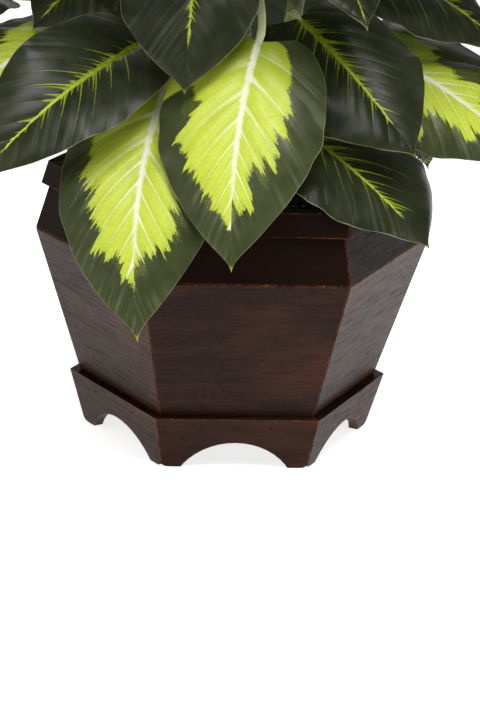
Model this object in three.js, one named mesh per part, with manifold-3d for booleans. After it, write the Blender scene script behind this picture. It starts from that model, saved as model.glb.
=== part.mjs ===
// A golden dieffenbachia in a six-sided wooden table planter.
// Millimetres, +Z up, the front face of the planter towards -Y.
// The origin is on the surface that the planter stands on, under the middle of the whole plant.

import * as THREE from "three";
import { mergeVertices } from "three/addons/utils/BufferGeometryUtils.js";
import Module from "manifold-3d";

const wasm = await Module();
wasm.setup();

// Driving sizes of the planter. Every radius runs from the axis to a corner of the hexagon.
const SIDES = 6;
const SEAM = 0.3;
const PLINTH = { bottom: 0, top: 38, bottomRadius: 99, topRadius: 110, thickness: 7 };
const BODY = { bottom: 38.3, top: 140, bottomRadius: 103, topRadius: 136, thickness: 8 };
const SHOULDER = { bottom: 140.3, top: 172, bottomRadius: 136, topRadius: 127, thickness: 8 };
const RIM = { bottom: 172.3, top: 188, bottomRadius: 133, topRadius: 128.5, innerRadius: 118 };
const ARCH = { halfWidth: 36.3, height: 19.5, segments: 48 };
const FOOT = { round: 5, spare: 2, segments: 4 };
const FLOOR_THICKNESS = 7;
const LINER = { bottomRadius: 92, topRadius: 116, top: 178, wall: 2 };
const SOIL = { edge: 172, mound: 9, lump: 1.6, lumpLength: 8, segments: 24, rings: 5 };

// Driving sizes of the plant.
const CANE = { radius: 6, depth: 55, sides: 8, scar: 0.5, scarSlope: 3, scarSpacing: 28, firstScar: 22 };
const SHEATH = { length: 20, gap: 0.4, centre: 3.4, thinning: 0.6 };
const SHEATH_FOOT = { wrap: 58, wall: 1.2 };
const SHEATH_TOP = { wrap: 35, wall: 2.6 };
const PETIOLE = { halfWidth: 3.1, halfHeight: 2.5, taper: 0.15, joint: 4, steps: 4 };
const CHANNEL = { edgeAngle: 15, height: 0.75, depth: 0.2 };
const BEND = { lift: 3, push: 1.5, rise: 26, riseShare: 0.4, outShare: 0.3, arrivalShare: 0.35 };
const BLADE = { thickness: 0.8, lobe: 9, waveTurn: 0.2 };
const RIB = { width: 2.2, depth: 2.6, end: 1.15, most: 0.3 };
const OUTLINE = { heel: 0.4, heelPower: 2.4, tipPower: 1.9, tipSlim: 1.15, tip: 0.008 };
const BLADE_STATIONS = [0, 0.07, 0.17, 0.29, 0.42, 0.55, 0.68, 0.8, 0.91, 1];
const SPEAR = { length: 72, radius: 5.4, overlap: 0.16, twist: 2.2, lean: 5 };
const SPEAR_PROFILE = [[0, 0.62], [0.12, 0.8], [0.35, 1], [0.6, 0.84], [0.8, 0.52], [0.94, 0.2], [1, 0.04]];

// Half the angle that a face of the hexagon takes up, a face's distance from the axis for a
// corner radius of 1, and half its length.
const HALF_FACE = Math.PI / SIDES;
const FACE_DISTANCE = Math.cos(HALF_FACE);
const HALF_SIDE = Math.sin(HALF_FACE);
const radians = THREE.MathUtils.degToRad;

const WOOD = new THREE.MeshStandardMaterial({ color: "#3a2119", roughness: 0.5, metalness: 0 });
const PLASTIC = new THREE.MeshStandardMaterial({ color: "#1c1c1b", roughness: 0.6, metalness: 0 });
const EARTH = new THREE.MeshStandardMaterial({ color: "#4a3b27", roughness: 1, metalness: 0 });
const STEM = new THREE.MeshStandardMaterial({ color: "#6f8a3c", roughness: 0.6, metalness: 0 });
const DARK_LEAF = new THREE.MeshStandardMaterial({ color: "#2a3620", roughness: 0.4, metalness: 0 });
const GOLD_LEAF = new THREE.MeshStandardMaterial({ color: "#c3d844", roughness: 0.4, metalness: 0 });

const plant = new THREE.Group();

function addMesh(name, geometry, material) {
  const mesh = new THREE.Mesh(geometry, material);
  mesh.name = name;
  plant.add(mesh);
  return mesh;
}

// A closed geometry with its equal vertices merged, as a solid that can be cut.
function solidOf(geometry) {
  const bare = geometry.clone();
  bare.deleteAttribute("normal");
  bare.deleteAttribute("uv");
  const merged = mergeVertices(bare, 1e-3);
  const vertProperties = new Float32Array(merged.attributes.position.array);
  const triVerts = new Uint32Array(merged.index.array);
  return new wasm.Manifold(new wasm.Mesh({ numProp: 3, vertProperties, triVerts }));
}

function geometryOf(solid) {
  const mesh = solid.getMesh();
  const geometry = new THREE.BufferGeometry();
  geometry.setAttribute("position", new THREE.BufferAttribute(mesh.vertProperties, mesh.numProp));
  geometry.setIndex(new THREE.BufferAttribute(mesh.triVerts, 1));
  return geometry;
}

// One mitred board of a tier, in its own frame: +X out through the face, +Y along it.
// The board's box is bent so that its ends lie in the planes through the corners.
function boardGeometry(tier) {
  const inset = (tier.thickness ?? 0) / FACE_DISTANCE;
  const innerBottom = tier.innerRadius ?? tier.bottomRadius - inset;
  const innerTop = tier.innerRadius ?? tier.topRadius - inset;
  const board = new THREE.BoxGeometry(1, 1, 1);
  const place = board.attributes.position;
  for (let i = 0; i < place.count; i++) {
    const atTop = place.getZ(i) > 0;
    const outside = place.getX(i) > 0;
    const outer = atTop ? tier.topRadius : tier.bottomRadius;
    const inner = atTop ? innerTop : innerBottom;
    const radius = outside ? outer : inner;
    const halfLength = radius * HALF_SIDE - SEAM / 2 / FACE_DISTANCE;
    const y = Math.sign(place.getY(i)) * halfLength;
    place.setXYZ(i, radius * FACE_DISTANCE, y, atTop ? tier.top : tier.bottom);
  }
  return board;
}

// The low round arch between two feet.
function archCutter() {
  const radius = (ARCH.halfWidth ** 2 + ARCH.height ** 2) / (2 * ARCH.height);
  const cutter = new THREE.CylinderGeometry(radius, radius, PLINTH.topRadius, ARCH.segments);
  cutter.rotateZ(Math.PI / 2);
  cutter.translate(PLINTH.topRadius / 2, 0, ARCH.height - radius);
  return cutter;
}

// What rounds a foot off at a corner of the plinth, for the end of the board at +Y or -Y.
function footCutter(end) {
  const corner = PLINTH.bottomRadius * HALF_SIDE;
  const flare = ((PLINTH.topRadius - PLINTH.bottomRadius) * HALF_SIDE) / (PLINTH.top - PLINTH.bottom);
  const edge = corner + flare * FOOT.round;
  const outline = new THREE.Shape();
  outline.moveTo(corner - FOOT.round, -FOOT.spare);
  outline.lineTo(edge + FOOT.spare, -FOOT.spare);
  outline.lineTo(edge + FOOT.spare, FOOT.round);
  outline.lineTo(edge, FOOT.round);
  outline.quadraticCurveTo(corner, 0, corner - FOOT.round, 0);
  const depth = 2 * PLINTH.topRadius;
  const cutter = new THREE.ExtrudeGeometry(outline, {
    depth,
    bevelEnabled: false,
    curveSegments: FOOT.segments,
  });
  return cutter.translate(0, 0, -depth / 2).rotateX(Math.PI / 2).rotateZ((end * Math.PI) / 2);
}

function plinthBoardGeometry() {
  let board = solidOf(boardGeometry(PLINTH));
  for (const cutter of [archCutter(), footCutter(1), footCutter(-1)]) {
    board = board.subtract(solidOf(cutter));
  }
  return geometryOf(board);
}

function addTier(name, geometry) {
  for (let face = 0; face < SIDES; face++) {
    const board = addMesh(`${name}_board_${face + 1}`, geometry, WOOD);
    board.rotation.z = HALF_FACE * (2 * face + 1);
  }
}

// Stands a geometry that was turned about Y upright, so that it is turned about Z.
function upright(geometry) {
  return geometry.rotateX(Math.PI / 2);
}

function addFloorBoard() {
  const flare = (PLINTH.topRadius - PLINTH.bottomRadius) / (PLINTH.top - PLINTH.bottom);
  const topRadius = PLINTH.topRadius - (PLINTH.thickness + SEAM) / FACE_DISTANCE;
  const bottomRadius = topRadius - flare * FLOOR_THICKNESS;
  const sizes = [topRadius, bottomRadius, FLOOR_THICKNESS];
  const board = new THREE.CylinderGeometry(...sizes, SIDES, 1, false, HALF_FACE);
  upright(board).translate(0, 0, PLINTH.top - FLOOR_THICKNESS / 2);
  addMesh("floor_board", board, WOOD);
}

function linerRadius(z) {
  const share = (z - PLINTH.top) / (LINER.top - PLINTH.top);
  return THREE.MathUtils.lerp(LINER.bottomRadius, LINER.topRadius, share);
}

function addLiner() {
  const bottom = PLINTH.top + SEAM;
  const profile = [
    new THREE.Vector2(0, bottom),
    new THREE.Vector2(linerRadius(bottom), bottom),
    new THREE.Vector2(LINER.topRadius, LINER.top),
    new THREE.Vector2(LINER.topRadius - LINER.wall, LINER.top),
    new THREE.Vector2(linerRadius(bottom) - LINER.wall, bottom + LINER.wall),
    new THREE.Vector2(0, bottom + LINER.wall),
  ];
  addMesh("liner", upright(new THREE.LatheGeometry(profile, SIDES, HALF_FACE)), PLASTIC);
}

// The canes: where each one leaves the soil and where it ends. The crowned one carries the
// youngest leaf, and each of the others ends in a bud.
const CANES = {
  front_left: { foot: [-22, -22], end: [-32, -32, 300] },
  front_right: { foot: [22, -18], end: [32, -14, 280] },
  back_right: { foot: [26, 24], end: [44, 42, 348] },
  back_left: { foot: [-28, 22], end: [-46, 38, 348] },
  middle: { foot: [0, 4], end: [0, 6, 404], crowned: true },
};

// The end of a cane, as shares of its radius and distances back from its end.
const CROWN_END = [[1, 6], [0.6, 0], [0, 0]];
const BUD_END = [[1, 20], [0.78, 10], [0.4, 2.5], [0, 0]];

for (const cane of Object.values(CANES)) {
  cane.end = new THREE.Vector3(...cane.end);
  cane.start = new THREE.Vector3(cane.foot[0], cane.foot[1], SOIL.edge);
  cane.axis = cane.end.clone().sub(cane.start).normalize();
  cane.root = cane.start.clone().addScaledVector(cane.axis, -CANE.depth);
}

function placeAlongCane(object, cane) {
  object.position.copy(cane.root);
  object.quaternion.setFromUnitVectors(new THREE.Vector3(0, 0, 1), cane.axis);
}

function addCanes() {
  for (const [name, cane] of Object.entries(CANES)) {
    const length = cane.end.distanceTo(cane.root);
    const profile = [new THREE.Vector2(0, 0), new THREE.Vector2(CANE.radius, 0)];
    const firstScar = CANE.depth + CANE.firstScar;
    for (let along = firstScar; along < length - CANE.scarSpacing; along += CANE.scarSpacing) {
      profile.push(new THREE.Vector2(CANE.radius, along - CANE.scarSlope));
      profile.push(new THREE.Vector2(CANE.radius + CANE.scar, along));
    }
    for (const [share, back] of cane.crowned ? CROWN_END : BUD_END) {
      profile.push(new THREE.Vector2(CANE.radius * share, length - back));
    }
    const geometry = upright(new THREE.LatheGeometry(profile, CANE.sides));
    placeAlongCane(addMesh(`cane_${name}`, geometry, STEM), cane);
  }
}

// The soil fills the liner, mounded and lumpy on top, with a plain hole for each cane.
function soilGeometry() {
  const bottom = PLINTH.top + SEAM + LINER.wall + SEAM;
  const inside = (LINER.wall + SEAM) / FACE_DISTANCE;
  const edgeRadius = linerRadius(SOIL.edge) - inside;
  const profile = [new THREE.Vector2(0, bottom), new THREE.Vector2(linerRadius(bottom) - inside, bottom)];
  for (let ring = SOIL.rings; ring >= 0; ring--) {
    profile.push(new THREE.Vector2((edgeRadius * ring) / SOIL.rings, SOIL.edge));
  }
  const soil = upright(new THREE.LatheGeometry(profile, SOIL.segments, HALF_FACE));
  const place = soil.attributes.position;
  for (let i = 0; i < place.count; i++) {
    const turn = Math.atan2(place.getY(i), place.getX(i));
    const fromFace = THREE.MathUtils.euclideanModulo(turn, 2 * HALF_FACE) - HALF_FACE;
    const reach = FACE_DISTANCE / Math.cos(fromFace);
    const x = place.getX(i) * reach;
    const y = place.getY(i) * reach;
    let z = place.getZ(i);
    if (z > bottom + 1) {
      const share = Math.min(1, Math.hypot(x, y) / edgeRadius / reach);
      const lumps = Math.sin(x / SOIL.lumpLength) * Math.cos(y / SOIL.lumpLength);
      z += SOIL.mound * (1 - share ** 2) + SOIL.lump * lumps * (1 - share ** 8);
    }
    place.setXYZ(i, x, y, z);
  }
  let solid = solidOf(soil);
  for (const cane of Object.values(CANES)) {
    const holeRadius = CANE.radius + SEAM;
    const holeLength = 2 * CANE.depth;
    const hole = upright(new THREE.CylinderGeometry(holeRadius, holeRadius, holeLength, CANE.sides));
    hole.translate(0, 0, holeLength / 2 - SEAM);
    const turn = new THREE.Object3D();
    placeAlongCane(turn, cane);
    turn.updateMatrix();
    hole.applyMatrix4(turn.matrix);
    solid = solid.subtract(solidOf(hole));
  }
  return geometryOf(solid);
}

// The leaves. Each grows from a cane at the height `hold`, arches out on its petiole to the
// place `base` and carries a blade from there to `tip`. The blade is widest at the share `widest`
// of its length, later by `skew` on one side, and wider by the share `lean` on the other. `roll`
// turns it about its length, `arch` lifts its middle, `bend` curves it sideways, `rise` and
// `droop` shape its two halves, and its margin waves `waves` times by `wave`.
const PLAIN_LEAF = {
  widest: 0.38,
  skew: 0,
  lean: 0,
  roll: 0,
  arch: 10,
  bend: 0,
  rise: 0.2,
  droop: 0.36,
  wave: 2,
  waves: 2.5,
};
const LEAVES = [
  { cane: "middle", hold: 310, base: [5, -66, 290], tip: [-14, -160, 163], width: 107, bend: 5, gold: true },
  { cane: "front_left", hold: 208, base: [-51, -50, 259], tip: [-72, -162, 116], width: 104, bend: 9,
    arch: 14, widest: 0.46, droop: 0.24, gold: true },
  { cane: "front_left", hold: 236, base: [-70, -43, 280], tip: [-177, -114, 205], width: 88, lean: -0.03,
    roll: -30, arch: 16, rise: 0.34, droop: 0.26 },
  { cane: "middle", hold: 334, base: [-31, -18, 381], tip: [-44, -98, 262], width: 92, lean: -0.06,
    widest: 0.54 },
  { cane: "back_left", hold: 250, base: [-106, 22, 273], tip: [-194, -20, 226], width: 82, roll: -22,
    arch: 12, gold: true },
  { cane: "front_right", hold: 240, base: [35, -22, 296], tip: [109, -92, 222], width: 100, roll: 25,
    arch: 6, lean: 0.04, widest: 0.46 },
  { cane: "front_right", hold: 206, base: [28, -57, 234], tip: [120, -105, 164], width: 120, roll: 12,
    arch: 6, widest: 0.48, skew: -0.15, lean: 0.18 },
  { cane: "back_right", hold: 316, base: [30, -20, 376], tip: [69, -120, 312], width: 82 },
  { cane: "back_right", hold: 250, base: [82, 26, 268], tip: [202, -34, 200], width: 114, roll: 25,
    gold: true },
  { cane: "back_right", hold: 272, base: [74, 58, 322], tip: [186, 12, 266], width: 94, roll: 14 },
  { cane: "back_left", hold: 316, base: [-72, 46, 322], tip: [-141, 8, 276], width: 104, roll: -20 },
  { cane: "back_left", hold: 272, base: [-164, 46, 290], tip: [-207, 16, 266], width: 58 },
  { cane: "back_right", hold: 206, base: [84, 46, 232], tip: [145, 84, 163], width: 76 },
  { cane: "back_right", hold: 228, base: [70, 70, 260], tip: [128, 140, 158], width: 100, gold: true },
  { cane: "middle", hold: 250, base: [8, 80, 304], tip: [14, 162, 178], width: 120 },
  { cane: "back_left", hold: 206, base: [-72, 62, 255], tip: [-118, 140, 155], width: 100, gold: true },
  { cane: "back_left", hold: 228, base: [-100, 56, 264], tip: [-180, 84, 182], width: 88 },
  { cane: "back_left", hold: 338, base: [-80, 10, 404], tip: [-198, -20, 374], width: 98 },
  { cane: "back_left", hold: 294, base: [-40, 80, 368], tip: [-96, 158, 298], width: 98 },
  { cane: "back_right", hold: 294, base: [46, 86, 362], tip: [110, 158, 288], width: 98, gold: true },
  { cane: "back_right", hold: 338, base: [74, 20, 394], tip: [206, 5, 366], width: 100 },
  { cane: "middle", hold: 378, base: [-36, -46, 424], tip: [-112, -146, 392], width: 98, gold: true },
  { cane: "middle", hold: 400, base: [32, -44, 430], tip: [88, -150, 406], width: 98 },
  { cane: "middle", hold: 356, base: [-34, 24, 432], tip: [-130, 70, 474], width: 98 },
  { cane: "middle", hold: 357, base: [30, 22, 436], tip: [118, 58, 490], width: 98, gold: true },
  { cane: "middle", hold: 286, base: [0, 60, 394], tip: [0, 161, 356], width: 100, gold: true },
];

// Half the width of a blade for a widest half width of 1.
function bladeOutline(share, widest) {
  if (share < widest) {
    const back = (widest - share) / widest;
    return OUTLINE.heel + (1 - OUTLINE.heel) * Math.sqrt(1 - back ** OUTLINE.heelPower);
  }
  const out = (share - widest) / (1 - widest);
  return Math.max(OUTLINE.tip, (1 - out ** OUTLINE.tipPower) ** OUTLINE.tipSlim);
}

// The frame of a blade: where its midrib runs, and which way its upper face looks.
function bladeFrame(leaf) {
  const base = new THREE.Vector3(...leaf.base);
  const tip = new THREE.Vector3(...leaf.tip);
  const chord = tip.clone().sub(base);
  const along = chord.clone().normalize();
  const up = new THREE.Vector3(0, 0, 1).addScaledVector(along, -along.z).normalize();
  up.applyAxisAngle(along, radians(leaf.roll));
  const side = along.clone().cross(up);
  return { base, chord, along, up, side };
}

function midrib(leaf, frame, share) {
  const swell = 4 * share * (1 - share);
  const point = frame.base.clone().addScaledVector(frame.chord, share);
  return point.addScaledVector(frame.up, leaf.arch * swell).addScaledVector(frame.side, leaf.bend * swell);
}

function midribDirection(leaf, frame, share) {
  const slope = 4 * (1 - 2 * share);
  const direction = frame.chord.clone().addScaledVector(frame.up, leaf.arch * slope);
  return direction.addScaledVector(frame.side, leaf.bend * slope).normalize();
}

// A section is a loop of points: these across the upper face, then as many back along the lower.
// The two beside the middle lie at the sides of the midrib.
const BESIDE_RIB = 0.1;
const ACROSS = [-1, -0.55, -BESIDE_RIB, 0, BESIDE_RIB, 0.55, 1];
const HALF_LOOP = ACROSS.length;

function placed(centre, side, up, offsets) {
  return offsets.map(([a, b]) => centre.clone().addScaledVector(side, a).addScaledVector(up, b));
}

function bladeSection(leaf, frame, share) {
  const direction = midribDirection(leaf, frame, share);
  const side = direction.clone().cross(frame.up).normalize();
  const up = side.clone().cross(direction);
  const halfWidth = (v) => {
    const outline = bladeOutline(share, leaf.widest + leaf.skew * Math.sign(v));
    return (leaf.width / 2) * outline * (1 - leaf.lean * Math.sign(v));
  };
  const rib = Math.min((RIB.width * (RIB.end - share)) / halfWidth(0), RIB.most);
  const across = ACROSS.map((v) => (Math.abs(v) === BESIDE_RIB ? Math.sign(v) * rib : v));
  const surface = across.map((v) => {
    const reach = Math.abs(v);
    const half = halfWidth(v);
    const turn = 2 * Math.PI * (leaf.waves * share + BLADE.waveTurn * v);
    const ripple = leaf.wave * reach ** 2 * Math.sin(turn) * Math.sin(Math.PI * share);
    return [v * half, half * (leaf.rise * reach - leaf.droop * reach ** 2) + ripple, v];
  });
  const lag = (v) => -BLADE.lobe * v ** 2 * (1 - share) ** 4;
  const upper = surface.map(([a, b]) => [a, b]);
  const lower = surface.map(([a, b, v]) => {
    const ribDepth = v === 0 ? RIB.depth * (1 - share) : 0;
    return [a, b - BLADE.thickness - ribDepth];
  });
  const centre = midrib(leaf, frame, share);
  const points = placed(centre, side, up, [...upper, ...lower.reverse()]);
  const places = [...across, ...across.slice().reverse()];
  points.forEach((point, i) => point.addScaledVector(direction, lag(places[i])));
  return points;
}

// The petiole is channelled on its upper side and round below.
function petioleOffsets(halfWidth, halfHeight) {
  const upper = [];
  const lower = [];
  for (let j = 0; j < HALF_LOOP; j++) {
    const edge = CHANNEL.edgeAngle;
    const turn = radians(THREE.MathUtils.lerp(180 - edge, edge, j / (HALF_LOOP - 1)));
    const height = CHANNEL.height - CHANNEL.depth * Math.sin(turn) ** 4;
    upper.push([halfWidth * Math.cos(turn), halfHeight * height * Math.sin(turn)]);
    lower.push([halfWidth * Math.cos(turn), -halfHeight * Math.sin(turn)]);
  }
  return [...upper, ...lower.reverse()];
}

// The sheath hugs the cane, as an arc of its wall.
function sheathOffsets({ wrap, wall }) {
  const inner = CANE.radius + CANE.scar + SHEATH.gap;
  const centre = inner + SHEATH.centre;
  const upper = [];
  const lower = [];
  for (let j = 0; j < HALF_LOOP; j++) {
    const share = (2 * j) / (HALF_LOOP - 1) - 1;
    const turn = radians(wrap * share);
    const outer = inner + wall * (1 - SHEATH.thinning * Math.abs(share));
    upper.push([inner * Math.sin(turn), centre - inner * Math.cos(turn)]);
    lower.push([outer * Math.sin(turn), centre - outer * Math.cos(turn)]);
  }
  return [...upper, ...lower.reverse()];
}

// The stalk: the sheath on the cane, thin at its foot and thick at its top, then the petiole.
function stalkSections(leaf, frame) {
  const cane = CANES[leaf.cane];
  const held = cane.axis.clone().multiplyScalar((leaf.hold - cane.start.z) / cane.axis.z).add(cane.start);
  const outward = frame.base.clone().sub(held);
  outward.addScaledVector(cane.axis, -outward.dot(cane.axis)).normalize();
  const side = cane.axis.clone().cross(outward).negate();
  const inward = outward.clone().negate();
  const offset = CANE.radius + CANE.scar + SHEATH.gap + SHEATH.centre;
  const top = held.clone().addScaledVector(outward, offset);
  const bottom = top.clone().addScaledVector(cane.axis, -SHEATH.length);
  const sections = [
    placed(bottom, side, inward, sheathOffsets(SHEATH_FOOT)),
    placed(top, side, inward, sheathOffsets(SHEATH_TOP)),
  ];
  const arrival = midribDirection(leaf, frame, 0);
  const reach = top.distanceTo(frame.base);
  const rise = Math.min(reach * BEND.riseShare, BEND.rise);
  const curve = new THREE.CubicBezierCurve3(
    top.clone().addScaledVector(cane.axis, BEND.lift).addScaledVector(outward, BEND.push),
    top.clone().addScaledVector(cane.axis, rise).addScaledVector(outward, reach * BEND.outShare),
    frame.base.clone().addScaledVector(arrival, -reach * BEND.arrivalShare),
    frame.base.clone().addScaledVector(arrival, -PETIOLE.joint),
  );
  const bladeSide = arrival.clone().cross(frame.up).normalize();
  for (let i = 0; i <= PETIOLE.steps; i++) {
    const share = i / PETIOLE.steps;
    const tangent = curve.getTangent(share);
    const across = side.clone().lerp(bladeSide, share);
    across.addScaledVector(tangent, -across.dot(tangent)).normalize();
    const up = across.clone().cross(tangent);
    const slim = 1 - PETIOLE.taper * share;
    const offsets = petioleOffsets(PETIOLE.halfWidth * slim, PETIOLE.halfHeight * slim);
    sections.push(placed(curve.getPoint(share), across, up, offsets));
  }
  return sections;
}

// Closes a row of sections into one body. Both faces of a blade are split along the same diagonals.
function loftGeometry(sections) {
  const loop = sections[0].length;
  const positions = sections.flat().flatMap((point) => point.toArray());
  const index = [];
  for (let i = 0; i + 1 < sections.length; i++) {
    for (let k = 0; k < loop; k++) {
      const next = (k + 1) % loop;
      const a = i * loop + k;
      const b = i * loop + next;
      const c = (i + 1) * loop + next;
      const d = (i + 1) * loop + k;
      if (k < loop / 2) {
        index.push(a, b, c, a, c, d);
      } else {
        index.push(a, b, d, b, c, d);
      }
    }
  }
  const last = (sections.length - 1) * loop;
  for (let k = 1; k + 1 < loop; k++) {
    index.push(0, k + 1, k);
    index.push(last, last + k, last + k + 1);
  }
  const geometry = new THREE.BufferGeometry();
  geometry.setAttribute("position", new THREE.Float32BufferAttribute(positions, 3));
  geometry.setIndex(index);
  return geometry;
}

function addLeaves() {
  LEAVES.forEach((values, i) => {
    const leaf = { ...PLAIN_LEAF, ...values };
    const frame = bladeFrame(leaf);
    const blade = BLADE_STATIONS.map((share) => bladeSection(leaf, frame, share));
    const name = `leaf_${String(i + 1).padStart(2, "0")}`;
    addMesh(name, loftGeometry([...stalkSections(leaf, frame), ...blade]), leaf.gold ? GOLD_LEAF : DARK_LEAF);
  });
}

// The youngest leaf, still rolled into a spear whose outer edge overlaps the turn below it.
function addYoungLeaf() {
  const loop = 2 * HALF_LOOP;
  const sections = SPEAR_PROFILE.map(([share, swell]) => {
    const points = [];
    for (let k = 0; k < loop; k++) {
      const turn = (2 * Math.PI * k) / loop + SPEAR.twist * share;
      const radius = SPEAR.radius * swell * (1 + (SPEAR.overlap * k) / loop);
      const lean = SPEAR.lean * share ** 2;
      const height = SPEAR.length * share;
      points.push(new THREE.Vector3(radius * Math.cos(turn) + lean, radius * Math.sin(turn), height));
    }
    return points;
  });
  const spear = addMesh("young_leaf", loftGeometry(sections), GOLD_LEAF);
  spear.position.copy(CANES.middle.end).addScaledVector(CANES.middle.axis, SEAM);
}

addTier("plinth", plinthBoardGeometry());
addTier("body", boardGeometry(BODY));
addTier("shoulder", boardGeometry(SHOULDER));
addTier("rim", boardGeometry(RIM));
addFloorBoard();
addLiner();
addMesh("soil", soilGeometry(), EARTH);
addCanes();
addLeaves();
addYoungLeaf();

export default plant;
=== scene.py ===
"""Dresses the potted golden dieffenbachia: veined leaves, jointed canes, soil and a worn wooden planter."""

import math

import bpy
import numpy as np
from mathutils import Matrix, Vector
from mathutils.bvhtree import BVHTree


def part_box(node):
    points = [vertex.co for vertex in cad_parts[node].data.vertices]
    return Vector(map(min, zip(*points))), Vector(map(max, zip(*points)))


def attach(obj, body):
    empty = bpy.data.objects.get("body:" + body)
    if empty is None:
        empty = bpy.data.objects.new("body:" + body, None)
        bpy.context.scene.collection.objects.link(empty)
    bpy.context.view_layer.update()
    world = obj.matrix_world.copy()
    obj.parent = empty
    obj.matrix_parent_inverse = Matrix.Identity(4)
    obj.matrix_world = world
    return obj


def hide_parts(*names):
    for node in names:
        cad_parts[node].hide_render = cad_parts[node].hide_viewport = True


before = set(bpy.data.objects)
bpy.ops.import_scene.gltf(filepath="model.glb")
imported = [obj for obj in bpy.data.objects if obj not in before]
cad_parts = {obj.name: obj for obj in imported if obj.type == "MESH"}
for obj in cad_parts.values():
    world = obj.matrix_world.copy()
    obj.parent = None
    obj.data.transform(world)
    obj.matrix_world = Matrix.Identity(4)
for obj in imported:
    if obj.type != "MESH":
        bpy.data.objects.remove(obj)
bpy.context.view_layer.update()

MM = 0.001
SEED = 11

# The new meshes are shaded smooth, apart from edges sharper than this, in degrees.
SHARP_ANGLE = 55

# The camera, from the photo's vanishing lines: its place in metres, and its yaw, pitch and roll in
# degrees.
CAMERA_PLACE = (-0.1632, -1.9258, 0.7412)
CAMERA_TURNS = (5.09, 19.77, -2.65)
CAMERA_LENS = 147.15

# The planter. Faces are numbered as its boards are, and face 5 is the front one. The grain shows more
# strongly above the top of the plinth, and above the top of the body the wood is darkened as painted
# shade of the foliage over the shoulder and rim; each change comes between two heights.
SIDES = 6
HALF_FACE = math.pi / SIDES
TIERS = ("plinth", "body", "shoulder", "rim")
WELD_REACH = 0.001 * MM
EDGE_ROUND = 0.6 * MM
EDGE_STEPS = 3
EDGE_ANGLE = 25
WEAR_RADIUS = 1.1 * MM
PLINTH_TOP = (38 * MM, 44 * MM)
BODY_TOP = (139 * MM, 142 * MM)

# The glue in the mitres and the fillings over the nails, in millimetres. The glue stays back from the
# corners of a seam, but keeps at least a share of its size. A filling is built up in levels: heights over
# the board, and shares of its radius. For each tier that is nailed: how far the nails are from the middle
# of a board, and how high.
GLUE_HALF = 0.14
GLUE_SETBACK = 1.2
GLUE_LEAST = 0.2
MITRE_REACH = 0.6
PIT_RADIUS = 1.1
PIT_LEVELS = ((-0.4, 1), (0.08, 1), (0.13, 0.7))
PIT_SIDES = 10
FAR_OUT = 300
PITS = {"plinth": (23, 31.5), "shoulder": (44, 152)}

# The soil and what lies on it, in millimetres.
SOIL_EDGE = 172
SOIL_LIP = 6
SOIL_SIDES = 132
SOIL_RINGS = 46
MOUND = 9
LARGE_LUMPS = 1.6
SMALL_LUMPS = 0.8
CRUMB_REACH = 0.96
CRUMB_SIDES = 6
CRUMB_WAIST = 0.87
CRUMB_ROUGHNESS = 0.22
CANE_CLEARANCE = 3
MOSS_STRANDS = 620
STRAND_STEPS = 11
STRAND_SIDES = 5
STRAND_LENGTH = (10, 24)
STRAND_RADIUS = (0.25, 0.5)
STRAND_TAPER = 0.7
STRAND_CURL = 0.5
STRAND_WANDER = 0.25
STRAND_SINKING = 0.09
STRAY_STRANDS = 9
STRAY_LENGTH = (16, 28)
STRAY_RADIUS = 0.45
STRAY_OUT = (117, 126)
STRAY_ASIDE = (-3, 14)
STRAY_WAY = (-0.6, 1.5)
RIM_HEIGHT = 188

# The canes, in millimetres: where each leaves the soil, and where it ends.
CANES = {
    "front_left": ((-22, -22), (-32, -32, 300)),
    "front_right": ((22, -18), (32, -14, 280)),
    "back_right": ((26, 24), (44, 42, 348)),
    "back_left": ((-28, 22), (-46, 38, 348)),
    "middle": ((0, 4), (0, 6, 404)),
}
CROWNED = "middle"
CANE_RADIUS = 6
CANE_DEPTH = 55
CANE_SIDES = 28

# The scars on a cane: steps along it, shares of the swelling, and how pale each step is. Then how a
# cane ends: shares of its radius at distances back from its end.
SCAR = 0.5
SCAR_SPACING = 28
FIRST_SCAR = 22
SCAR_STEPS = ((-5, 0, 0), (-1.2, 0.5, 0.4), (-0.4, 1, 1), (0.4, 1, 1), (1.4, 0, 0.2), (14, -0.5, 0))
CROWN_END = ((1, 6), (0.85, 2), (0.6, 0), (0, 0))
BUD_END = ((1, 20), (0.93, 15), (0.78, 10), (0.6, 6), (0.4, 2.5), (0.2, 0.7), (0, 0))

# The stalk of a leaf, in millimetres: the sheath round its cane, and its petiole.
SHEATH_LENGTH = 20
SHEATH_INNER = 6.9
SHEATH_CENTRE = 3.4
# How far the sheath wraps to each side in degrees, and its wall, at its foot and at its top.
SHEATH_FOOT = (58, 1.2)
SHEATH_TOP = (35, 2.6)
SHEATH_THINNING = 0.6
SHEATH_STEPS = 6
PETIOLE_HALF_WIDTH = 3.1
PETIOLE_HALF_HEIGHT = 2.5
PETIOLE_TAPER = 0.15
PETIOLE_JOINT = 4
PETIOLE_RISE = 26
PETIOLE_STEPS = 26
PETIOLE_SEAM = 15
PETIOLE_CHANNEL = (0.75, 0.25)
# The petiole is swollen near the blade: by what share, where along it, and over what share of it.
PETIOLE_SWELLING = (0.12, 0.96, 0.04)
# How the petiole runs on under the blade: distances past its base, and shares of its thickness.
RIB_STUBS = ((3, 0.75), (9, 0.5), (16, 0.2))
STUB_DROP = 1.2
STUB_SLOPE = 0.04
HALF_LOOP = 11

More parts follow.
